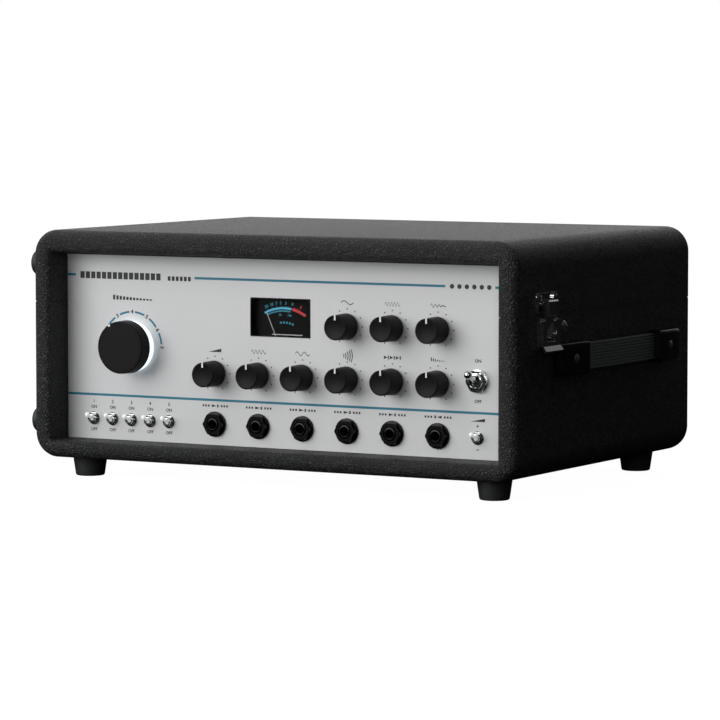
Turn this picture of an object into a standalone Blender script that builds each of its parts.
"""Tape echo unit: a vinyl-covered case with a hinged lid, a silver control panel and a tape transport.

Metres, +Z up. X = 0 is the middle of the width, Y = 0 the middle of the depth over the hinge,
Z = 0 the surface that the rubber feet stand on. The control panel faces -Y.
"""
import math

import bmesh
import bpy
from mathutils import Matrix, Vector

# Whole case
CASE_WIDTH = 0.415
CASE_HEIGHT = 0.174
CASE_DEPTH = 0.300
SIDE_WALL = 0.0153
TOP_WALL = 0.0170
FLOOR_WALL = 0.0134
BACK_WALL = 0.0153
LONG_EDGE_RADIUS = 0.0190
FRONT_EDGE_RADIUS = 0.0080
REAR_EDGE_RADIUS = 0.0080
MOUTH_EDGE_RADIUS = 0.0045
MOUTH_CORNER_RADIUS = 0.0010
SEAM_HEIGHT = 0.1191
SEAM_GAP = 0.0006
CLEARANCE = 0.0003
OVERRUN = 0.0020
MERGE_DISTANCE = 0.000001
WELD_INSET = 0.0001

# Rubber feet under the case and on its left side
FOOT_HEIGHT = 0.0152
FOOT_TOP_RADIUS = 0.0130
FOOT_TIP_RADIUS = 0.0112
FOOT_EDGE = 0.0012
FOOT_INSET_X = 0.0325
FOOT_INSET_Y = 0.0310
SIDE_STANDOFF = 0.0112
SIDE_FOOT_BASE_RADIUS = 0.0110
SIDE_FOOT_TIP_RADIUS = 0.0092
SIDE_FOOT_INSET_Y = 0.0248
SIDE_FOOT_INSET_Z = 0.0265

# Rear hinge
HINGE_LENGTH = 0.300
HINGE_KNUCKLES = 5
HINGE_BARREL_RADIUS = 0.0035
HINGE_PIN_RADIUS = 0.0015
HINGE_LEAF_THICKNESS = 0.0015
HINGE_LEAF_HEIGHT = 0.0180
HINGE_RELIEF = 0.0008

# Front panel and the controls that it carries
RECESS = 0.0264
PANEL_THICKNESS = 0.0025
KNOB_FIRST_X = -0.0595
KNOB_PITCH = 0.03807
KNOB_COUNT = 6
UPPER_KNOB_START = 3
LOWER_ROW = 0.0678
UPPER_ROW = 0.1070
JACK_ROW = 0.0295
TOGGLE_ROW = 0.0294
TOGGLE_FIRST_X = -0.1682
TOGGLE_PITCH = 0.01693
TOGGLE_COUNT = 5
OUTPUT_TOGGLE_X = 0.1635
POWER_TOGGLE_X = 0.1637
POWER_TOGGLE_Z = 0.0708
MODE_X = -0.1333
MODE_Z = 0.0856

KNOB_BASE_RADIUS = 0.0097
KNOB_FACE_RADIUS = 0.0098
KNOB_LENGTH = 0.0185
KNOB_LIFT = 0.0010
KNOB_EDGE = 0.0006
SHAFT_RADIUS = 0.0030
SHAFT_REACH = 0.0070
PANEL_HOLE_RADIUS = 0.0037

MODE_BASE_RADIUS = 0.0203
MODE_FACE_RADIUS = 0.0199
MODE_LIFT = 0.0064
MODE_LENGTH = 0.0178
MODE_EDGE = 0.0009
MODE_CORE_RADIUS = 0.0130
RING_OUTER_RADIUS = 0.0193
RING_INNER_RADIUS = 0.0165
RING_HEIGHT = 0.0055

# Control board behind the panel
BOARD_SETBACK = 0.0120
BOARD_THICKNESS = 0.0016
BOARD_SIDE_GAP = 0.0069
BOARD_LOW = 0.0190
BOARD_HIGH = 0.1180
POT_RADIUS = 0.0080
POT_FRONT_SETBACK = 0.0030
POT_BUSHING_RADIUS = 0.0052
MINI_BUSHING_RADIUS = 0.0030
MINI_BUSHING_STANDOFF = 0.0042
MINI_BORE_RADIUS = 0.0022
MINI_SWITCH_HALF = 0.0050
MINI_LEVER_PIVOT = 0.0022
MINI_BALL_RADIUS = 0.0019
MINI_STEM_RADIUS = 0.0010
MINI_TIP_RADIUS = 0.0018
MINI_LEVER_LENGTH = 0.0099
POWER_BUSHING_RADIUS = 0.0058
POWER_BUSHING_STANDOFF = 0.0060
POWER_BORE_RADIUS = 0.0044
POWER_SWITCH_HALF = 0.0085
POWER_LEVER_PIVOT = 0.0030
POWER_BALL_RADIUS = 0.0041
POWER_STEM_RADIUS = 0.0019
POWER_TIP_RADIUS = 0.0031
POWER_LEVER_LENGTH = 0.0167
TOGGLE_TILT = math.radians(24.0)

# Jack sockets
JACK_NUT_RADIUS = 0.0088
JACK_NUT_THICKNESS = 0.0030
JACK_FLANGE_RADIUS = 0.0096
JACK_FLANGE_THICKNESS = 0.0012
JACK_BUSHING_RADIUS = 0.0058
JACK_LIP_RADIUS = 0.0048
JACK_LIP_STANDOFF = 0.0048
JACK_BORE_RADIUS = 0.0034
JACK_BODY_HALF = 0.0085
JACK_BODY_SETBACK = 0.0110
JACK_END_WALL = 0.0012

# Level meter
METER_LEFT = -0.0286
METER_RIGHT = 0.0235
METER_LOW = 0.0969
METER_HIGH = 0.1261
METER_RIM = 0.0036
METER_FOOT_LOW = 0.0768
METER_DIAL_SETBACK = 0.0054
METER_BODY_SETBACK = 0.0116
METER_WALL = 0.0015
WINDOW_THICKNESS = 0.0018
NEEDLE_PIVOT_X = -0.0026
NEEDLE_PIVOT_Z = 0.0827
NEEDLE_LENGTH = 0.0350
NEEDLE_WIDTH = 0.0009
NEEDLE_THICKNESS = 0.0007
NEEDLE_BOSS_RADIUS = 0.0022
NEEDLE_STUB_RADIUS = 0.0009
NEEDLE_STUB_LENGTH = 0.0040
NEEDLE_REST = math.radians(24.0)

# Strap handle on the right side
CAP_OUTER_THICKNESS = 0.0077
CAP_INNER_THICKNESS = 0.01132
CAP_OUTER_HEIGHT = 0.0236
CAP_INNER_HEIGHT = 0.0246
CAP_EDGE = 0.0014
FRONT_CAP_START = 0.0597
FRONT_CAP_END = 0.0992
REAR_CAP_START = 0.2220
REAR_CAP_END = 0.2615
HANDLE_CENTRE_Z = 0.0856
STRAP_WIDTH = 0.0202
STRAP_THICKNESS = 0.0030
STRAP_RIB_DEPTH = 0.0007
STRAP_RIBS = 9
STRAP_END_LIFT = 0.0005
STRAP_BOW = 0.0020
STRAP_TUCK = 0.0200
STRAP_STEPS = 12
SLOT_END_MARGIN = 0.0015

# Draw latch, one on each side of the case: lifts are measured out from the case's side
LATCH_DEPTH = 0.0456
LATCH_HALF_WIDTH = 0.0136
LATCH_SHEET = 0.0012
LATCH_BASE_LOW = 0.0945
LATCH_BASE_HIGH = 0.1175
LATCH_PIN_LIFT = 0.0027
LATCH_PIN_Z = 0.1150
LATCH_PIN_RADIUS = 0.0009
LATCH_EAR_HALF = 0.0016
LEVER_EYE_RADIUS = 0.0020
LEVER_BACK_LIFT = 0.0006
LEVER_LIFT = 0.0052
LEVER_TOP = 0.1154
LEVER_BEND_Z = 0.0965
LEVER_LIP_LIFT = 0.0084
LEVER_LOW = 0.0925
LEVER_WINDOW_HALF = 0.0078
LEVER_WINDOW_LOW = 0.1002
HOOK_PIN_LIFT = 0.00345
HOOK_PIN_Z = 0.1055
HOOK_PIN_RADIUS = 0.0008
HOOK_BARREL_RADIUS = 0.0016
HOOK_HALF_WIDTH = 0.00725
HOOK_LIFT = 0.0039
HOOK_SHANK_SHEET = 0.0010
HOOK_HEAD_LIFT = 0.0080
HOOK_HEAD_LOW = 0.1185
HOOK_HIGH = 0.1303
HOOK_HEAD_EDGE = 0.0010
CLAW_THICKNESS = 0.0016
CLAW_REACH = 0.0020
STRIKE_LOW = 0.1215
STRIKE_HIGH = 0.1356
STRIKE_HALF_WIDTH = 0.0163
STRIKE_RIDGE_HALF = 0.0080
STRIKE_RIDGE_THICKNESS = 0.0022
STRIKE_BOSS_RADIUS = 0.0034
STRIKE_BOSS_LIFT = 0.0030
STRIKE_BOSS_OFFSET = 0.0125

# Chassis and tape transport
SHEET = 0.0020
CHASSIS_FRONT = 0.0600
CHASSIS_SIDE_GAP = 0.0006
DECK_Z = 0.1040
CHEEK_FRONT = 0.0294
REAR_OPENING_HALF_WIDTH = 0.1500
REAR_OPENING_LOW = 0.0200
REAR_OPENING_HIGH = 0.0900
TAPE_LEFT = -0.1500
TAPE_RIGHT = 0.1200
TAPE_FRONT = 0.1100
TAPE_REAR_MARGIN = 0.0547
POST_RADIUS = 0.0080
POST_HEIGHT = 0.0200
TAPE_LOW = 0.0110
TAPE_WIDTH = 0.00635
TAPE_THICKNESS = 0.0006
HEAD_COUNT = 5
HEAD_FIRST_X = -0.1150
HEAD_PITCH = 0.0350
HEAD_WIDTH = 0.0160
HEAD_DEPTH = 0.0180
HEAD_TOP = 0.0200
HEAD_BAR_HEIGHT = 0.0040
HEAD_NOSE_SHARE = 0.35
CAPSTAN_X = 0.0750
CAPSTAN_RADIUS = 0.0040
CAPSTAN_HEIGHT = 0.0230
CAPSTAN_BORE_DEPTH = 0.0160
MOTOR_RADIUS = 0.0240
MOTOR_HEIGHT = 0.0420
ROLLER_RADIUS = 0.0110
ROLLER_LOW = 0.0080
ROLLER_HEIGHT = 0.0130
AXLE_RADIUS = 0.0025
AXLE_CAP = 0.0020
ARM_REACH = 0.0400
ARM_SET_FORWARD = 0.0040
ARM_HALF_WIDTH = 0.0060
ARM_THICKNESS = 0.0030
ARM_LIFT = 0.0030
ARM_POST_RADIUS = 0.0030

# Power supply with the mains inlet in the rear
SUPPLY_LEFT = 0.0450
SUPPLY_RIGHT = 0.1450
SUPPLY_DEPTH = 0.0700
SUPPLY_HEIGHT = 0.0520
INLET_X = 0.1100
INLET_Z = 0.0480
INLET_HALF_WIDTH = 0.0145
INLET_HALF_HEIGHT = 0.0120
INLET_BORE_HALF_WIDTH = 0.0112
INLET_BORE_HALF_HEIGHT = 0.0075
INLET_BORE_DEPTH = 0.0150

# Number of flats on turned pieces
FINE_SIDES = 32
KNOB_SIDES = 24
ROUND_SIDES = 16
HOLE_SIDES = 12
CORNER_STEPS = 5
EDGE_STEPS = 3

# Places worked out from the sizes
FRONT_Y = -(CASE_DEPTH + CLEARANCE + HINGE_BARREL_RADIUS * 2) / 2
BASE_Z = FOOT_HEIGHT
HALF_WIDTH = CASE_WIDTH / 2
MOUTH_HALF_WIDTH = HALF_WIDTH - SIDE_WALL
MOUTH_TOP = CASE_HEIGHT - TOP_WALL
PANEL_HALF_WIDTH = MOUTH_HALF_WIDTH - CLEARANCE
PANEL_LOW = FLOOR_WALL + CLEARANCE
PANEL_HIGH = MOUTH_TOP - CLEARANCE
BACK_INNER = CASE_DEPTH - BACK_WALL
BOARD_HALF_WIDTH = PANEL_HALF_WIDTH - BOARD_SIDE_GAP
TAPE_REAR = BACK_INNER - TAPE_REAR_MARGIN
OUTWARD = (math.pi / 2, 0, 0)

KNOB_COLUMNS = [KNOB_FIRST_X + KNOB_PITCH * column for column in range(KNOB_COUNT)]
TOGGLE_COLUMNS = [TOGGLE_FIRST_X + TOGGLE_PITCH * column for column in range(TOGGLE_COUNT)]
LOWER_KNOBS = ("knob_input_level", "knob_chorus_rate", "knob_chorus_depth",
               "knob_reverb_level", "knob_speed", "knob_echo_level")
UPPER_KNOBS = ("knob_bass", "knob_treble", "knob_feedback")
JACKS = ("jack_input", "jack_remote_speed", "jack_remote_feedback",
         "jack_chorus_cancel", "jack_echo_cancel", "jack_output")
TOGGLES = ("toggle_direct", "toggle_motor", "toggle_overdub", "toggle_echo", "toggle_chorus")


def in_case(x, depth, height):
    """World place of a point given from the case's middle, front plane and underside."""
    return Vector((x, FRONT_Y + depth, BASE_Z + height))


def clear_scene():
    for old in list(bpy.data.objects):
        bpy.data.objects.remove(old, do_unlink=True)


def material(name, colour, roughness, metallic=0.0):
    made = bpy.data.materials.new(name)
    made.use_nodes = True
    shader = made.node_tree.nodes["Principled BSDF"]
    shader.inputs["Base Color"].default_value = (*colour, 1.0)
    shader.inputs["Roughness"].default_value = roughness
    shader.inputs["Metallic"].default_value = metallic
    return made


# Solid shapes, each returned as a bmesh in local coordinates

def slab(low, high):
    """A box between two corners."""
    low, high = Vector(low), Vector(high)
    shape = bmesh.new()
    bmesh.ops.create_cube(shape, size=1.0)
    bmesh.ops.scale(shape, vec=high - low, verts=shape.verts)
    bmesh.ops.translate(shape, vec=(low + high) / 2, verts=shape.verts)
    return shape


def turned(profile, sides=ROUND_SIDES, hollow=False):
    """A solid turned about local Z from (radius, height) points; hollow closes the profile."""
    shape = bmesh.new()
    verts = [shape.verts.new((radius, 0, height)) for radius, height in profile]
    edges = [shape.edges.new(pair) for pair in zip(verts, verts[1:])]
    if hollow:
        edges.append(shape.edges.new((verts[-1], verts[0])))
    bmesh.ops.spin(shape, geom=verts + edges, cent=(0, 0, 0), axis=(0, 0, 1),
                   angle=math.tau, steps=sides, use_merge=True)
    bmesh.ops.remove_doubles(shape, verts=shape.verts, dist=MERGE_DISTANCE)
    bmesh.ops.recalc_face_normals(shape, faces=shape.faces)
    return shape


def rod(radius, low, high, sides=ROUND_SIDES):
    return turned([(0, low), (radius, low), (radius, high), (0, high)], sides)


def prism(outline, low, high):
    """An outline in local X and Y, drawn up from low to high."""
    shape = bmesh.new()
    face = shape.faces.new([shape.verts.new((x, y, low)) for x, y in outline])
    drawn = bmesh.ops.extrude_face_region(shape, geom=[face])
    far = [item for item in drawn["geom"] if isinstance(item, bmesh.types.BMVert)]
    bmesh.ops.translate(shape, vec=(0, 0, high - low), verts=far)
    bmesh.ops.recalc_face_normals(shape, faces=shape.faces)
    return shape


def ring_points(radius, sides, centre=(0, 0), phase=0.0):
    return [(centre[0] + radius * math.cos(phase + math.tau * step / sides),
             centre[1] + radius * math.sin(phase + math.tau * step / sides))
            for step in range(sides)]


def moved(shape, place=(0, 0, 0), turn=None):
    if turn:
        bmesh.ops.transform(shape, matrix=turn, verts=shape.verts)
    bmesh.ops.translate(shape, vec=place, verts=shape.verts)
    return shape


def skinned(loops):
    """A closed solid drawn through a row of loops with equal numbers of points."""
    shape = bmesh.new()
    rings = [[shape.verts.new(point) for point in loop] for loop in loops]
    for first, second in zip(rings, rings[1:]):
        for here, one in enumerate(first):
            after = (here + 1) % len(first)
            shape.faces.new((one, first[after], second[after], second[here]))
    shape.faces.new(rings[0])
    shape.faces.new(rings[-1])
    bmesh.ops.recalc_face_normals(shape, faces=shape.faces)
    return shape


def gathered(shapes):
    """Several shapes that don't touch, as one bmesh for a single cut."""
    whole = bmesh.new()
    for shape in shapes:
        carried = bpy.data.meshes.new("carried")
        shape.to_mesh(carried)
        whole.from_mesh(carried)
        bpy.data.meshes.remove(carried)
    return whole


# Scene objects

def stand(name, shape, parent, place, turn):
    mesh = bpy.data.meshes.new(name)
    shape.to_mesh(mesh)
    shape.free()
    item = bpy.data.objects.new(name, mesh)
    bpy.context.scene.collection.objects.link(item)
    item.parent = parent
    item.location = place
    item.rotation_euler = turn
    return item


def helper(name, shape, owner):
    """A hidden shape that a Boolean of its owner reads."""
    item = stand(name, shape, owner.parent, owner.location, owner.rotation_euler)
    item.hide_render = True
    item.display_type = "WIRE"
    return item


def piece(name, shape, look, parent=None, place=(0, 0, 0), turn=(0, 0, 0), add=(), cut=()):
    """One named part: a first solid, solids added to it, then solids cut from it."""
    item = stand(name, shape, parent, place, turn)
    item.data.materials.append(look)
    for operation, others in (("UNION", add), ("DIFFERENCE", cut)):
        for number, other in enumerate(others):
            tool = helper(f"{name}_{operation.lower()}_{number}", other, item)
            boolean = item.modifiers.new(tool.name, "BOOLEAN")
            boolean.operation = operation
            boolean.object = tool
            boolean.solver = "EXACT"
    item.data.shade_smooth()
    item.data.set_sharp_from_angle(angle=math.radians(30.0))
    return item


def guide(name, place, turn=(0, 0, 0)):
    empty = bpy.data.objects.new(name, None)
    bpy.context.scene.collection.objects.link(empty)
    empty.location = place
    empty.rotation_euler = turn
    return empty


# Case

def rounded_outline(half_width, low, high, radius):
    """A rectangle with round corners, as points across and up."""
    points = []
    corners = ((half_width - radius, high - radius, 0), (radius - half_width, high - radius, 1),
               (radius - half_width, low + radius, 2), (half_width - radius, low + radius, 3))
    for centre_x, centre_z, quarter in corners:
        for step in range(CORNER_STEPS + 1):
            angle = math.pi / 2 * (quarter + step / CORNER_STEPS)
            points.append((centre_x + radius * math.cos(angle),
                           centre_z + radius * math.sin(angle)))
    return points


def rounded_loop(half_width, low, high, radius, depth):
    """A rounded rectangle across the case at one depth."""
    return [in_case(x, depth, z) for x, z in rounded_outline(half_width, low, high, radius)]


def outer_loop(inset, depth):
    return rounded_loop(HALF_WIDTH - inset, inset, CASE_HEIGHT - inset,
                        LONG_EDGE_RADIUS - inset, depth)


def mouth_loop(outset, depth):
    return rounded_loop(MOUTH_HALF_WIDTH + outset, FLOOR_WALL - outset, MOUTH_TOP + outset,
                        MOUTH_CORNER_RADIUS + outset, depth)


def case_shell():
    """The whole box before it is sawn at the seam: outside, rounded front rim, inside."""
    quarter = [math.pi / 2 * step / EDGE_STEPS for step in range(EDGE_STEPS + 1)]
    loops = [outer_loop(REAR_EDGE_RADIUS * (1 - math.sin(angle)),
                        CASE_DEPTH - REAR_EDGE_RADIUS * (1 - math.cos(angle)))
             for angle in quarter]
    loops += [outer_loop(FRONT_EDGE_RADIUS * (1 - math.cos(angle)),
                         FRONT_EDGE_RADIUS * (1 - math.sin(angle))) for angle in quarter]
    loops += [mouth_loop(MOUTH_EDGE_RADIUS * (1 - math.sin(angle)),
                         MOUTH_EDGE_RADIUS * (1 - math.cos(angle))) for angle in quarter]
    loops.append(mouth_loop(0, BACK_INNER))
    return skinned(loops)


def whole_slice(low, high):
    """A block wider than the case between two heights."""
    return slab(in_case(-CASE_WIDTH, -CASE_DEPTH, low), in_case(CASE_WIDTH, CASE_DEPTH * 2, high))


def make_case(vinyl):
    rear_opening = slab(in_case(-REAR_OPENING_HALF_WIDTH, BACK_INNER - OVERRUN, REAR_OPENING_LOW),
                        in_case(REAR_OPENING_HALF_WIDTH, CASE_DEPTH + OVERRUN, REAR_OPENING_HIGH))
    piece("case_lower", case_shell(), vinyl,
          cut=[whole_slice(SEAM_HEIGHT - SEAM_GAP / 2, CASE_HEIGHT * 2), rear_opening])
    piece("case_lid", case_shell(), vinyl,
          cut=[whole_slice(-CASE_HEIGHT, SEAM_HEIGHT + SEAM_GAP / 2)])


# Feet

def foot_shape(height, base_radius, tip_radius):
    """A tapered rubber foot that stands out along local Z from what carries it."""
    return turned([(0, CLEARANCE), (base_radius, CLEARANCE), (tip_radius, height - FOOT_EDGE),
                   (tip_radius - FOOT_EDGE, height), (0, height)], ROUND_SIDES)


def make_feet(rubber):
    foot_x = HALF_WIDTH - FOOT_INSET_X
    for side, across in (("left", -foot_x), ("right", foot_x)):
        for end, depth in (("front", FOOT_INSET_Y), ("rear", CASE_DEPTH - FOOT_INSET_Y)):
            piece(f"foot_{end}_{side}", foot_shape(FOOT_HEIGHT, FOOT_TOP_RADIUS, FOOT_TIP_RADIUS),
                  rubber, place=in_case(across, depth, 0), turn=(math.pi, 0, 0))
    for level, height in (("lower", SIDE_FOOT_INSET_Z), ("upper", CASE_HEIGHT - SIDE_FOOT_INSET_Z)):
        for end, depth in (("front", SIDE_FOOT_INSET_Y), ("rear", CASE_DEPTH - SIDE_FOOT_INSET_Y)):
            piece(f"side_foot_{level}_{end}",
                  foot_shape(SIDE_STANDOFF, SIDE_FOOT_BASE_RADIUS, SIDE_FOOT_TIP_RADIUS),
                  rubber, place=in_case(-HALF_WIDTH, depth, height), turn=(0, -math.pi / 2, 0))


# Rear hinge: its pin runs along X just behind the case, at the seam

def barrel(radius, start, end, sides=HOLE_SIDES):
    return moved(rod(radius, start, end, sides), turn=Matrix.Rotation(math.pi / 2, 3, "Y"))


def make_hinge(steel):
    axis_lift = CLEARANCE + HINGE_BARREL_RADIUS
    knuckle = HINGE_LENGTH / HINGE_KNUCKLES
    leaf_back = HINGE_LEAF_THICKNESS - HINGE_BARREL_RADIUS
    relief = HINGE_BARREL_RADIUS + HINGE_RELIEF
    starts = [knuckle * number - HINGE_LENGTH / 2 for number in range(HINGE_KNUCKLES)]

    def leaf(direction, chosen):
        """A leaf, its barrels and the webs that join them, above or below the pin."""
        near, far = sorted((direction * relief, direction * HINGE_LEAF_HEIGHT))
        plate = slab((-HINGE_LENGTH / 2, -HINGE_BARREL_RADIUS, near),
                     (HINGE_LENGTH / 2, leaf_back, far))
        low, high = sorted((0, direction * (relief + HINGE_RELIEF)))
        parts = []
        for start in chosen:
            left, right = start + CLEARANCE, start + knuckle - CLEARANCE
            parts.append(barrel(HINGE_BARREL_RADIUS, left, right))
            parts.append(slab((left, -HINGE_BARREL_RADIUS, low), (right, leaf_back, high)))
        return plate, parts

    place = in_case(0, CASE_DEPTH + axis_lift, SEAM_HEIGHT)
    plate, parts = leaf(-1, starts[0::2])
    pin = barrel(HINGE_PIN_RADIUS, starts[0] + CLEARANCE * 2, -starts[0] - CLEARANCE * 2)
    piece("hinge_lower", plate, steel, place=place, add=parts + [pin])
    plate, parts = leaf(1, starts[1::2])
    bore = barrel(HINGE_PIN_RADIUS + CLEARANCE, -HINGE_LENGTH, HINGE_LENGTH)
    piece("hinge_upper", plate, steel, place=place, add=parts, cut=[bore])


# Front panel: local X across, local Y up from the case's underside, local Z out of the panel

def control_places():
    """Every shaft hole of the panel as x, height and radius."""
    places = [(x, LOWER_ROW, PANEL_HOLE_RADIUS) for x in KNOB_COLUMNS]
    places += [(x, UPPER_ROW, PANEL_HOLE_RADIUS) for x in KNOB_COLUMNS[UPPER_KNOB_START:]]
    places.append((MODE_X, MODE_Z, PANEL_HOLE_RADIUS))
    mini_hole = MINI_BUSHING_RADIUS + CLEARANCE
    places += [(x, TOGGLE_ROW, mini_hole) for x in TOGGLE_COLUMNS + [OUTPUT_TOGGLE_X]]
    places.append((POWER_TOGGLE_X, POWER_TOGGLE_Z, POWER_BUSHING_RADIUS + CLEARANCE))
    places += [(x, JACK_ROW, JACK_BUSHING_RADIUS + CLEARANCE) for x in KNOB_COLUMNS]
    return places


def make_panel(panel, silver, clear):
    holes = [moved(rod(radius, -PANEL_THICKNESS - OVERRUN, OVERRUN, HOLE_SIDES), (x, height, 0))
             for x, height, radius in control_places()]
    holes.append(slab((METER_LEFT, METER_LOW, -PANEL_THICKNESS - OVERRUN),
                      (METER_RIGHT, METER_HIGH, OVERRUN)))
    plate = prism(rounded_outline(PANEL_HALF_WIDTH, PANEL_LOW, PANEL_HIGH, MOUTH_CORNER_RADIUS),
                  -PANEL_THICKNESS, 0)
    piece("front_panel", plate, silver, panel, cut=[gathered(holes)])
    window_back = -PANEL_THICKNESS + CLEARANCE
    piece("meter_window",
          slab((METER_LEFT + CLEARANCE, METER_LOW + CLEARANCE, window_back),
               (METER_RIGHT - CLEARANCE, METER_HIGH - CLEARANCE, window_back + WINDOW_THICKNESS)),
          clear, panel)


def knob_shape(base_radius, face_radius, lift, length, edge, core_radius):
    """A knob with its shaft: the body stands between lift and length off the panel."""
    shaft_end = -PANEL_THICKNESS - SHAFT_REACH
    return turned([(0, shaft_end), (SHAFT_RADIUS, shaft_end), (SHAFT_RADIUS, lift / 2),
                   (core_radius, lift), (base_radius - edge, lift), (base_radius, lift + edge),
                   (face_radius, length - edge), (face_radius - edge, length), (0, length)],
                  KNOB_SIDES)


def make_knobs(panel, black):
    rows = [(name, x, LOWER_ROW) for name, x in zip(LOWER_KNOBS, KNOB_COLUMNS)]
    rows += [(name, x, UPPER_ROW) for name, x in zip(UPPER_KNOBS, KNOB_COLUMNS[UPPER_KNOB_START:])]
    for name, x, height in rows:
        piece(name, knob_shape(KNOB_BASE_RADIUS, KNOB_FACE_RADIUS, KNOB_LIFT, KNOB_LENGTH,
                               KNOB_EDGE, SHAFT_RADIUS * 2), black, panel, (x, height, 0))
    piece("mode_knob", knob_shape(MODE_BASE_RADIUS, MODE_FACE_RADIUS, MODE_LIFT, MODE_LENGTH,
                                  MODE_EDGE, MODE_CORE_RADIUS), black, panel, (MODE_X, MODE_Z, 0))


def make_mode_ring(panel, glow):
    piece("mode_ring", turned([(RING_INNER_RADIUS, CLEARANCE), (RING_OUTER_RADIUS, CLEARANCE),
                               (RING_OUTER_RADIUS, RING_HEIGHT), (RING_INNER_RADIUS, RING_HEIGHT)],
                              FINE_SIDES, hollow=True), glow, panel, (MODE_X, MODE_Z, 0))


def make_control_board(panel, green):
    """The circuit board with its pot and switch bodies and the bushings that reach the panel."""
    board_front = -PANEL_THICKNESS - BOARD_SETBACK
    board = slab((-BOARD_HALF_WIDTH, BOARD_LOW, board_front - BOARD_THICKNESS),
                 (BOARD_HALF_WIDTH, BOARD_HIGH, board_front))
    behind = -PANEL_THICKNESS - CLEARANCE
    pot_front = -PANEL_THICKNESS - POT_FRONT_SETBACK
    shaft_bore_end = -PANEL_THICKNESS - SHAFT_REACH - CLEARANCE
    root = board_front - BOARD_THICKNESS / 2
    pots = [(x, LOWER_ROW) for x in KNOB_COLUMNS] + [(MODE_X, MODE_Z)]
    pots += [(x, UPPER_ROW) for x in KNOB_COLUMNS[UPPER_KNOB_START:]]
    bodies, bores = [], []
    for x, height in pots:
        bodies.append(moved(turned([(0, root), (POT_RADIUS, root), (POT_RADIUS, pot_front),
                                    (POT_BUSHING_RADIUS, pot_front), (POT_BUSHING_RADIUS, behind),
                                    (0, behind)], HOLE_SIDES), (x, height, 0)))
        bores.append(moved(rod(SHAFT_RADIUS + CLEARANCE, shaft_bore_end, behind + OVERRUN,
                               HOLE_SIDES), (x, height, 0)))
    mini_floor = MINI_LEVER_PIVOT - MINI_BALL_RADIUS - CLEARANCE
    power_floor = POWER_LEVER_PIVOT - POWER_BALL_RADIUS - CLEARANCE
    switches = [(x, TOGGLE_ROW, MINI_SWITCH_HALF, MINI_BUSHING_RADIUS, MINI_BUSHING_STANDOFF,
                 MINI_BORE_RADIUS, mini_floor) for x in TOGGLE_COLUMNS + [OUTPUT_TOGGLE_X]]
    switches.append((POWER_TOGGLE_X, POWER_TOGGLE_Z, POWER_SWITCH_HALF, POWER_BUSHING_RADIUS,
                     POWER_BUSHING_STANDOFF, POWER_BORE_RADIUS, power_floor))
    bushings = []
    for x, height, half, radius, standoff, bore_radius, floor in switches:
        bodies.append(slab((x - half, height - half, root), (x + half, height + half, behind)))
        bushings.append(moved(rod(radius, board_front / 2, standoff, HOLE_SIDES), (x, height, 0)))
        bores.append(moved(rod(bore_radius, floor, standoff + OVERRUN, HOLE_SIDES), (x, height, 0)))
    piece("control_board", board, green, panel,
          add=[gathered(bodies), gathered(bushings)], cut=[gathered(bores)])


def lever_shape(ball_radius, stem_radius, tip_radius, length, cap_steps=3):
    """A bat lever turned about local Z, its pivot ball at the origin."""
    angles = [math.pi / 2 * step / cap_steps for step in range(cap_steps + 1)]
    ball = [(ball_radius * math.cos(angle), ball_radius * math.sin(angle))
            for angle in [-math.pi / 2 + angle for angle in angles] + [math.pi / 4]]
    tip_centre = length - tip_radius
    tip = [(tip_radius * math.cos(angle), tip_centre + tip_radius * math.sin(angle))
           for angle in angles]
    return turned(ball + [(stem_radius, ball_radius)] + tip, HOLE_SIDES)


def make_toggles(panel, chrome):
    for name, x in list(zip(TOGGLES, TOGGLE_COLUMNS)) + [("toggle_output_level", OUTPUT_TOGGLE_X)]:
        piece(name, lever_shape(MINI_BALL_RADIUS, MINI_STEM_RADIUS, MINI_TIP_RADIUS,
                                MINI_LEVER_LENGTH), chrome, panel,
              (x, TOGGLE_ROW, MINI_LEVER_PIVOT), (-TOGGLE_TILT, 0, 0))
    piece("toggle_power", lever_shape(POWER_BALL_RADIUS, POWER_STEM_RADIUS, POWER_TIP_RADIUS,
                                      POWER_LEVER_LENGTH), chrome, panel,
          (POWER_TOGGLE_X, POWER_TOGGLE_Z, POWER_LEVER_PIVOT), (-TOGGLE_TILT, 0, 0))


def make_jacks(panel, black):
    """Each jack: flange and hex nut on the panel, bushing through it, body behind it."""
    behind = -PANEL_THICKNESS - CLEARANCE
    body_end = -PANEL_THICKNESS - JACK_BODY_SETBACK
    for name, x in zip(JACKS, KNOB_COLUMNS):
        front = turned([(0, behind - OVERRUN), (JACK_BUSHING_RADIUS, behind - OVERRUN),
                        (JACK_BUSHING_RADIUS, CLEARANCE), (JACK_FLANGE_RADIUS, CLEARANCE),
                        (JACK_FLANGE_RADIUS, CLEARANCE + JACK_FLANGE_THICKNESS),
                        (JACK_LIP_RADIUS, CLEARANCE + JACK_FLANGE_THICKNESS),
                        (JACK_LIP_RADIUS, JACK_LIP_STANDOFF), (0, JACK_LIP_STANDOFF)], ROUND_SIDES)
        nut_low = CLEARANCE + JACK_FLANGE_THICKNESS / 2
        nut = prism(ring_points(JACK_NUT_RADIUS, 6), nut_low,
                    CLEARANCE + JACK_FLANGE_THICKNESS + JACK_NUT_THICKNESS)
        body = slab((-JACK_BODY_HALF, -JACK_BODY_HALF, body_end),
                    (JACK_BODY_HALF, JACK_BODY_HALF, behind))
        bore = rod(JACK_BORE_RADIUS, body_end + JACK_END_WALL, JACK_LIP_STANDOFF + OVERRUN)
        piece(name, front, black, panel, (x, JACK_ROW, 0), add=[nut, body], cut=[bore])


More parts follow.
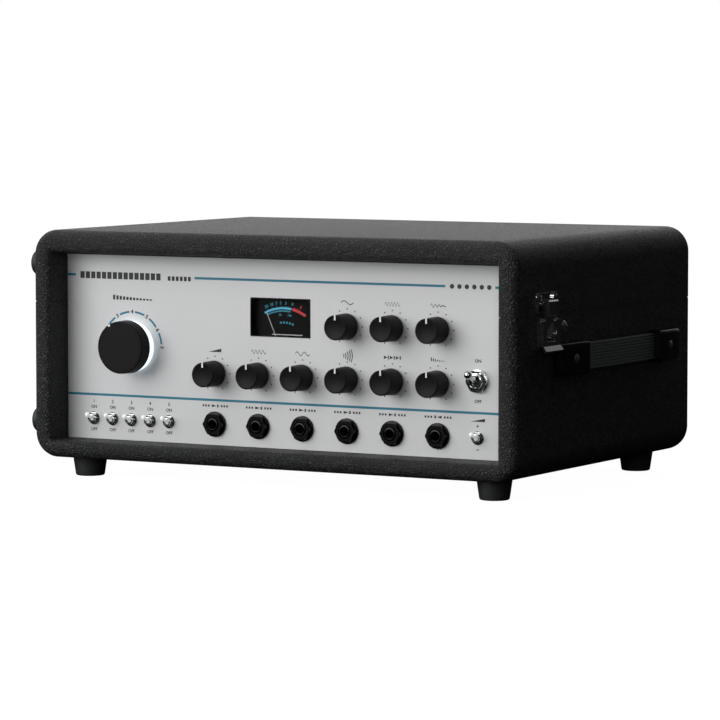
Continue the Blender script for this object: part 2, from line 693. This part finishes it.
def make_meter(panel, black, pale):
    """The meter's body with a shallow dial tray, and the needle on its bearing."""
    behind = -PANEL_THICKNESS - CLEARANCE
    dial = -METER_DIAL_SETBACK
    low, high = METER_FOOT_LOW, METER_HIGH + METER_RIM
    left, right = METER_LEFT - METER_RIM, METER_RIGHT + METER_RIM
    tray = slab((left + METER_WALL, low + METER_WALL, dial),
                (right - METER_WALL, high - METER_WALL, behind + OVERRUN))
    bearing = moved(rod(NEEDLE_STUB_RADIUS + CLEARANCE, dial - NEEDLE_STUB_LENGTH - CLEARANCE,
                        dial + OVERRUN, HOLE_SIDES), (NEEDLE_PIVOT_X, NEEDLE_PIVOT_Z, 0))
    piece("meter_housing", slab((left, low, -PANEL_THICKNESS - METER_BODY_SETBACK),
                                (right, high, behind)), black, panel, cut=[tray, bearing])
    back = CLEARANCE
    boss = turned([(0, -NEEDLE_STUB_LENGTH), (NEEDLE_STUB_RADIUS, -NEEDLE_STUB_LENGTH),
                   (NEEDLE_STUB_RADIUS, back), (NEEDLE_BOSS_RADIUS, back),
                   (NEEDLE_BOSS_RADIUS, back + NEEDLE_THICKNESS * 2),
                   (0, back + NEEDLE_THICKNESS * 2)], HOLE_SIDES)
    pointer = slab((-NEEDLE_WIDTH / 2, 0, back + NEEDLE_THICKNESS / 2),
                   (NEEDLE_WIDTH / 2, NEEDLE_LENGTH, back + NEEDLE_THICKNESS * 3 / 2))
    piece("meter_needle", boss, pale, panel, (NEEDLE_PIVOT_X, NEEDLE_PIVOT_Z, dial),
          (0, 0, NEEDLE_REST), add=[pointer])


# Strap handle: local X out of the case's side, local Y back from the case's front, local Z up

def strap_section(depth, lift):
    """The strap's ribbed outline across its length, at one depth."""
    half = STRAP_WIDTH / 2
    outline = [Vector((lift, depth, half)), Vector((lift, depth, -half))]
    rib_shares = ((0.15, 1), (0.40, 0), (0.85, 0))
    for rib in range(STRAP_RIBS):
        for along_share, sunk in rib_shares:
            height = STRAP_WIDTH * (rib + along_share) / STRAP_RIBS - half
            outline.append(Vector((lift + STRAP_THICKNESS - STRAP_RIB_DEPTH * sunk, depth, height)))
    return outline


def strap_lift(depth):
    """The strap bows out a little between its caps, on half a sine wave squared."""
    share = (depth - FRONT_CAP_END) / (REAR_CAP_START - FRONT_CAP_END)
    return STRAP_END_LIFT + STRAP_BOW * math.sin(math.pi * share) ** 2


def cap_shape(outer, inner):
    """A wedge that is thicker and taller at its inner end, where the strap comes out."""
    shape = bmesh.new()
    ends = ((outer, CAP_OUTER_THICKNESS, CAP_OUTER_HEIGHT / 2),
            (inner, CAP_INNER_THICKNESS, CAP_INNER_HEIGHT / 2))
    corners = [shape.verts.new((lift, depth, height))
               for depth, thickness, half in ends
               for lift, height in ((CLEARANCE, -half), (thickness, -half), (thickness, half),
                                    (CLEARANCE, half))]
    bmesh.ops.convex_hull(shape, input=corners)
    bmesh.ops.dissolve_limit(shape, angle_limit=math.radians(0.1), verts=shape.verts,
                             edges=shape.edges)
    bmesh.ops.bevel(shape, geom=shape.edges[:], offset=CAP_EDGE, segments=2, affect="EDGES",
                    profile=0.5)
    bmesh.ops.recalc_face_normals(shape, faces=shape.faces)
    return shape


def make_handle(side, rubber, black):
    start, end = FRONT_CAP_END, REAR_CAP_START
    steps = [start + (end - start) * step / STRAP_STEPS for step in range(STRAP_STEPS + 1)]
    sections = [strap_section(start - STRAP_TUCK, STRAP_END_LIFT)]
    sections += [strap_section(depth, strap_lift(depth)) for depth in steps]
    sections.append(strap_section(end + STRAP_TUCK, STRAP_END_LIFT))
    piece("strap_handle", skinned(sections), rubber, side, (0, 0, HANDLE_CENTRE_Z))
    slot_half = STRAP_WIDTH / 2 + CLEARANCE
    for name, outer, inner in (("handle_cap_front", FRONT_CAP_START, start),
                               ("handle_cap_rear", REAR_CAP_END, end)):
        slot = slab((-OVERRUN, start - STRAP_TUCK - SLOT_END_MARGIN, -slot_half),
                    (STRAP_END_LIFT + STRAP_THICKNESS + CLEARANCE,
                     end + STRAP_TUCK + SLOT_END_MARGIN, slot_half))
        piece(name, cap_shape(outer, inner), black, side, (0, 0, HANDLE_CENTRE_Z), cut=[slot])


# Draw latch: local X out of the case's side, local Y along the side, local Z up

def across_latch(radius, half, centre=(0, 0, 0)):
    """A pin or bore along local Y, as long on both sides of its centre."""
    lying = Matrix.Rotation(math.pi / 2, 3, "X")
    return moved(rod(radius, -half, half, HOLE_SIDES), centre, lying)


def side_prism(outline, half):
    """An outline in local X and Z, drawn along local Y on both sides of the middle."""
    lying = Matrix.Rotation(math.pi / 2, 3, "X")
    return moved(prism(outline, -half, half), turn=lying)


def both_sides(low, high):
    """Two mirrored slabs, one on each side of local Y zero."""
    mirrored = ((low[0], -high[1], low[2]), (high[0], -low[1], high[2]))
    return gathered([slab(low, high), slab(*mirrored)])


def make_latch(name, side, chrome):
    """Base and strike on the case, lever on the base's pin, hook on the lever's pin."""
    flange_inner = LATCH_HALF_WIDTH - LATCH_SHEET
    base_half = flange_inner - CLEARANCE
    pin_x, pin_z = LATCH_PIN_LIFT, LATCH_PIN_Z
    back = CLEARANCE - pin_x
    plate_top = back + LATCH_SHEET
    base = slab((back, -base_half, LATCH_BASE_LOW - pin_z), (plate_top, base_half,
                                                            LATCH_BASE_HIGH - pin_z))
    ears = both_sides((back, base_half - LATCH_SHEET, -LATCH_EAR_HALF),
                      (LATCH_EAR_HALF, base_half, LATCH_EAR_HALF))
    pin = across_latch(LATCH_PIN_RADIUS, LATCH_HALF_WIDTH)
    pin_rest = (pin_x, LATCH_DEPTH, pin_z)
    piece(f"latch_base_{name}", base, chrome, side, pin_rest, add=[ears, pin])

    under, over = LEVER_LIFT - pin_x, LEVER_LIFT + LATCH_SHEET - pin_x
    top, bend, low = LEVER_TOP - pin_z, LEVER_BEND_Z - pin_z, LEVER_LOW - pin_z
    lip = LEVER_LIP_LIFT - pin_x
    hook_x, hook_z = HOOK_PIN_LIFT - pin_x, HOOK_PIN_Z - pin_z
    plate = side_prism([(under, top), (under, bend), (lip - LATCH_SHEET, low), (lip, low),
                        (lip + LATCH_SHEET / 2, low + LATCH_SHEET), (over, bend + LATCH_SHEET / 2),
                        (over, top)], LATCH_HALF_WIDTH)
    flange_outer = LATCH_HALF_WIDTH - WELD_INSET
    flanges = both_sides((LEVER_BACK_LIFT - pin_x, flange_inner, bend + CLEARANCE),
                         (under + LATCH_SHEET / 2, flange_outer, -CLEARANCE))
    eye_half = LATCH_SHEET / 2 - WELD_INSET
    eyes = gathered([moved(rod(LEVER_EYE_RADIUS, -eye_half, eye_half),
                           (0, direction * (flange_inner + flange_outer) / 2, 0),
                           Matrix.Rotation(math.pi / 2, 3, "X")) for direction in (-1, 1)])
    hook_pin = across_latch(HOOK_PIN_RADIUS, flange_inner + LATCH_SHEET / 2, (hook_x, 0, hook_z))
    window = slab((under - OVERRUN, -LEVER_WINDOW_HALF, LEVER_WINDOW_LOW - pin_z),
                  (over + OVERRUN, LEVER_WINDOW_HALF, top + OVERRUN))
    eye_bores = across_latch(LATCH_PIN_RADIUS + CLEARANCE, LATCH_HALF_WIDTH + OVERRUN)
    piece(f"latch_lever_{name}", plate, chrome, side, pin_rest, add=[flanges, eyes, hook_pin],
          cut=[window, eye_bores])

    shank_in, shank_out = HOOK_LIFT - HOOK_PIN_LIFT, HOOK_LIFT + HOOK_SHANK_SHEET - HOOK_PIN_LIFT
    head_out, head_low = HOOK_HEAD_LIFT - HOOK_PIN_LIFT, HOOK_HEAD_LOW - HOOK_PIN_Z
    high = HOOK_HIGH - HOOK_PIN_Z
    edge = HOOK_HEAD_EDGE
    hook = side_prism([(shank_in, CLEARANCE), (shank_out, CLEARANCE), (shank_out, head_low),
                       (head_out - edge, head_low), (head_out, head_low + edge),
                       (head_out, high - edge), (head_out - edge, high),
                       (shank_in - CLAW_REACH, high), (shank_in - CLAW_REACH, high - CLAW_THICKNESS),
                       (shank_in, high - CLAW_THICKNESS)], HOOK_HALF_WIDTH)
    sleeve = across_latch(HOOK_BARREL_RADIUS, HOOK_HALF_WIDTH - CLEARANCE)
    bore = across_latch(HOOK_PIN_RADIUS + CLEARANCE, HOOK_HALF_WIDTH + OVERRUN)
    piece(f"latch_hook_{name}", hook, chrome, side, (HOOK_PIN_LIFT, LATCH_DEPTH, HOOK_PIN_Z),
          add=[sleeve], cut=[bore])

    ridge_top = HOOK_HIGH - CLAW_THICKNESS - CLEARANCE
    strike = slab((CLEARANCE, -STRIKE_HALF_WIDTH, STRIKE_LOW),
                  (CLEARANCE + LATCH_SHEET, STRIKE_HALF_WIDTH, STRIKE_HIGH))
    ridge = slab((CLEARANCE, -STRIKE_RIDGE_HALF, ridge_top - STRIKE_RIDGE_THICKNESS),
                 (HOOK_LIFT - CLEARANCE, STRIKE_RIDGE_HALF, ridge_top))
    bosses = gathered([moved(rod(STRIKE_BOSS_RADIUS, CLEARANCE + LATCH_SHEET / 2, STRIKE_BOSS_LIFT),
                             (0, direction * STRIKE_BOSS_OFFSET, STRIKE_HIGH - STRIKE_BOSS_RADIUS),
                             Matrix.Rotation(math.pi / 2, 3, "Y")) for direction in (-1, 1)])
    piece(f"latch_strike_{name}", strike, chrome, side, (0, LATCH_DEPTH, 0), add=[ridge, bosses])


# Chassis and tape transport

def make_chassis(steel):
    """Tray, cheeks, rear plate and transport deck, with the four tape guide posts."""
    half = MOUTH_HALF_WIDTH - CHASSIS_SIDE_GAP
    floor = FLOOR_WALL + CLEARANCE
    rear = BACK_INNER - CLEARANCE
    deck_top = DECK_Z + SHEET
    tray = slab(in_case(-half, CHEEK_FRONT, floor), in_case(half, rear, floor + SHEET))
    parts = [slab(in_case(-half, CHASSIS_FRONT, DECK_Z), in_case(half, rear, deck_top)),
             slab(in_case(-half, rear - SHEET, floor), in_case(half, rear, deck_top))]
    for low, high in ((-half, SHEET - half), (half - SHEET, half)):
        parts.append(slab(in_case(low, CHEEK_FRONT, floor), in_case(high, rear, deck_top)))
    posts = [moved(rod(POST_RADIUS, -SHEET / 2, POST_HEIGHT), in_case(x, depth, deck_top))
             for x in (TAPE_LEFT, TAPE_RIGHT) for depth in (TAPE_FRONT, TAPE_REAR)]
    shaft_hole = moved(rod(CAPSTAN_RADIUS + CLEARANCE, -SHEET - OVERRUN, OVERRUN, HOLE_SIDES),
                       in_case(CAPSTAN_X, capstan_depth(), deck_top))
    arm_post = moved(rod(ARM_POST_RADIUS, -SHEET / 2, ARM_LIFT + ARM_THICKNESS + AXLE_CAP, HOLE_SIDES),
                     in_case(*arm_pivot(), deck_top))
    inlet = slab(in_case(INLET_X - INLET_HALF_WIDTH - CLEARANCE, rear - SHEET - OVERRUN,
                         INLET_Z - INLET_HALF_HEIGHT - CLEARANCE),
                 in_case(INLET_X + INLET_HALF_WIDTH + CLEARANCE, rear + OVERRUN,
                         INLET_Z + INLET_HALF_HEIGHT + CLEARANCE))
    piece("chassis", tray, steel, add=parts + [gathered(posts + [arm_post])],
          cut=[gathered([shaft_hole, inlet])])


def tape_inner_depth():
    """Depth of the tape's inner face along its front run."""
    return TAPE_FRONT - POST_RADIUS - CLEARANCE


def capstan_depth():
    return tape_inner_depth() + CLEARANCE + CAPSTAN_RADIUS


def roller_place():
    return CAPSTAN_X, tape_inner_depth() - TAPE_THICKNESS - CLEARANCE - ROLLER_RADIUS


def arm_pivot():
    x, depth = roller_place()
    return x - ARM_REACH, depth - ARM_SET_FORWARD


def tape_outline(radius):
    """The closed path round the four posts at one radius from their centres."""
    points = []
    corners = ((TAPE_RIGHT, TAPE_REAR, 0), (TAPE_LEFT, TAPE_REAR, 1),
               (TAPE_LEFT, TAPE_FRONT, 2), (TAPE_RIGHT, TAPE_FRONT, 3))
    for x, depth, quarter in corners:
        for step in range(CORNER_STEPS + 1):
            angle = math.pi / 2 * (quarter + step / CORNER_STEPS)
            place = in_case(x + radius * math.cos(angle), depth + radius * math.sin(angle), 0)
            points.append((place.x, place.y))
    return points


def make_transport(steel, tape, black, rubber):
    deck_top = BASE_Z + DECK_Z + SHEET
    inner = POST_RADIUS + CLEARANCE
    low, high = deck_top + TAPE_LOW, deck_top + TAPE_LOW + TAPE_WIDTH
    piece("tape_loop", prism(tape_outline(inner + TAPE_THICKNESS), low, high), tape,
          cut=[prism(tape_outline(inner), low - OVERRUN, high + OVERRUN)])

    face = tape_inner_depth() + CLEARANCE
    back = face + HEAD_DEPTH
    nose = HEAD_DEPTH * HEAD_NOSE_SHARE
    last_x = HEAD_FIRST_X + HEAD_PITCH * (HEAD_COUNT - 1)
    bar = slab(in_case(HEAD_FIRST_X - HEAD_WIDTH, face + nose, DECK_Z + SHEET + CLEARANCE),
               in_case(last_x + HEAD_WIDTH, back + nose, DECK_Z + SHEET + HEAD_BAR_HEIGHT))
    heads = []
    for number in range(HEAD_COUNT):
        x = HEAD_FIRST_X + HEAD_PITCH * number
        outline = [(x - HEAD_WIDTH / 2, back), (x - HEAD_WIDTH / 2, face + nose),
                   (x - HEAD_WIDTH / 4, face), (x + HEAD_WIDTH / 4, face),
                   (x + HEAD_WIDTH / 2, face + nose), (x + HEAD_WIDTH / 2, back)]
        heads.append(prism([in_case(px, py, 0).xy for px, py in outline],
                           deck_top + HEAD_BAR_HEIGHT / 2, deck_top + HEAD_TOP))
    piece("head_block", bar, steel, add=[gathered(heads)])

    motor_top = BASE_Z + DECK_Z - CLEARANCE
    centre = in_case(CAPSTAN_X, capstan_depth(), 0)
    bore = rod(CAPSTAN_RADIUS + CLEARANCE, -CAPSTAN_BORE_DEPTH, OVERRUN)
    piece("motor", rod(MOTOR_RADIUS, -MOTOR_HEIGHT, 0, KNOB_SIDES), steel,
          place=(centre.x, centre.y, motor_top), cut=[bore])
    shaft_end = motor_top - CAPSTAN_BORE_DEPTH + CLEARANCE - deck_top
    piece("capstan", rod(CAPSTAN_RADIUS, shaft_end, CAPSTAN_HEIGHT), steel,
          place=(centre.x, centre.y, deck_top))

    pivot_x, pivot_depth = arm_pivot()
    roller_x, roller_depth = roller_place()
    reach = Vector((roller_x - pivot_x, roller_depth - pivot_depth, 0))
    pivot = in_case(pivot_x, pivot_depth, DECK_Z + SHEET)
    along = Matrix.Rotation(math.atan2(reach.y, reach.x), 3, "Z")
    arm = moved(slab((-ARM_HALF_WIDTH, -ARM_HALF_WIDTH, ARM_LIFT),
                     (reach.length + ARM_HALF_WIDTH, ARM_HALF_WIDTH, ARM_LIFT + ARM_THICKNESS)),
                turn=along)
    axle_top = ROLLER_LOW + ROLLER_HEIGHT + AXLE_CAP
    axle = moved(rod(AXLE_RADIUS, ARM_LIFT + ARM_THICKNESS / 2, axle_top, HOLE_SIDES), reach)
    arm_bore = rod(ARM_POST_RADIUS + CLEARANCE, 0, ARM_LIFT + ARM_THICKNESS + OVERRUN, HOLE_SIDES)
    piece("pinch_arm", arm, steel, place=pivot, add=[axle], cut=[arm_bore])
    piece("pinch_roller", turned([(AXLE_RADIUS + CLEARANCE, ROLLER_LOW), (ROLLER_RADIUS, ROLLER_LOW),
                                  (ROLLER_RADIUS, ROLLER_LOW + ROLLER_HEIGHT),
                                  (AXLE_RADIUS + CLEARANCE, ROLLER_LOW + ROLLER_HEIGHT)],
                                 KNOB_SIDES, hollow=True), rubber, place=pivot + reach)


def make_power_supply(black):
    """The supply box on the tray, with the mains inlet that it presents at the rear."""
    rear = BACK_INNER - CLEARANCE
    body_rear = rear - SHEET - CLEARANCE
    low = FLOOR_WALL + CLEARANCE * 2 + SHEET
    body = slab(in_case(SUPPLY_LEFT, body_rear - SUPPLY_DEPTH, low),
                in_case(SUPPLY_RIGHT, body_rear, low + SUPPLY_HEIGHT))
    inlet = slab(in_case(INLET_X - INLET_HALF_WIDTH, body_rear - OVERRUN, INLET_Z - INLET_HALF_HEIGHT),
                 in_case(INLET_X + INLET_HALF_WIDTH, rear + OVERRUN, INLET_Z + INLET_HALF_HEIGHT))
    socket = slab(in_case(INLET_X - INLET_BORE_HALF_WIDTH, rear + OVERRUN - INLET_BORE_DEPTH,
                          INLET_Z - INLET_BORE_HALF_HEIGHT),
                  in_case(INLET_X + INLET_BORE_HALF_WIDTH, rear + OVERRUN * 2,
                          INLET_Z + INLET_BORE_HALF_HEIGHT))
    piece("power_supply", body, black, add=[inlet], cut=[socket])


def build():
    clear_scene()
    vinyl = material("black_vinyl", (0.020, 0.021, 0.022), 0.55)
    rubber = material("black_rubber", (0.012, 0.012, 0.013), 0.6)
    silver = material("silver_panel", (0.55, 0.56, 0.57), 0.45, 0.3)
    black = material("black_plastic", (0.018, 0.018, 0.019), 0.4)
    chrome = material("chrome", (0.75, 0.76, 0.78), 0.15, 1.0)
    steel = material("plated_steel", (0.42, 0.42, 0.44), 0.35, 1.0)
    clear = material("clear_acrylic", (0.85, 0.88, 0.90), 0.05)
    glow = material("lit_ring", (0.90, 0.94, 1.0), 0.4)
    green = material("circuit_board", (0.02, 0.11, 0.05), 0.5)
    tape = material("brown_tape", (0.06, 0.03, 0.02), 0.3)
    pale = material("pale_needle", (0.80, 0.80, 0.80), 0.4)

    panel = guide("panel_frame", in_case(0, RECESS, 0), OUTWARD)
    right = guide("right_side_frame", in_case(HALF_WIDTH, 0, 0))
    left = guide("left_side_frame", in_case(-HALF_WIDTH, LATCH_DEPTH * 2, 0),
                 (0, 0, math.pi))
    make_case(vinyl)
    make_feet(rubber)
    make_hinge(steel)
    make_panel(panel, silver, clear)
    make_knobs(panel, black)
    make_mode_ring(panel, glow)
    make_control_board(panel, green)
    make_toggles(panel, chrome)
    make_jacks(panel, black)
    make_meter(panel, black, pale)
    make_handle(right, rubber, black)
    make_latch("right", right, chrome)
    make_latch("left", left, chrome)
    make_chassis(steel)
    make_transport(steel, tape, black, rubber)
    make_power_supply(black)


build()
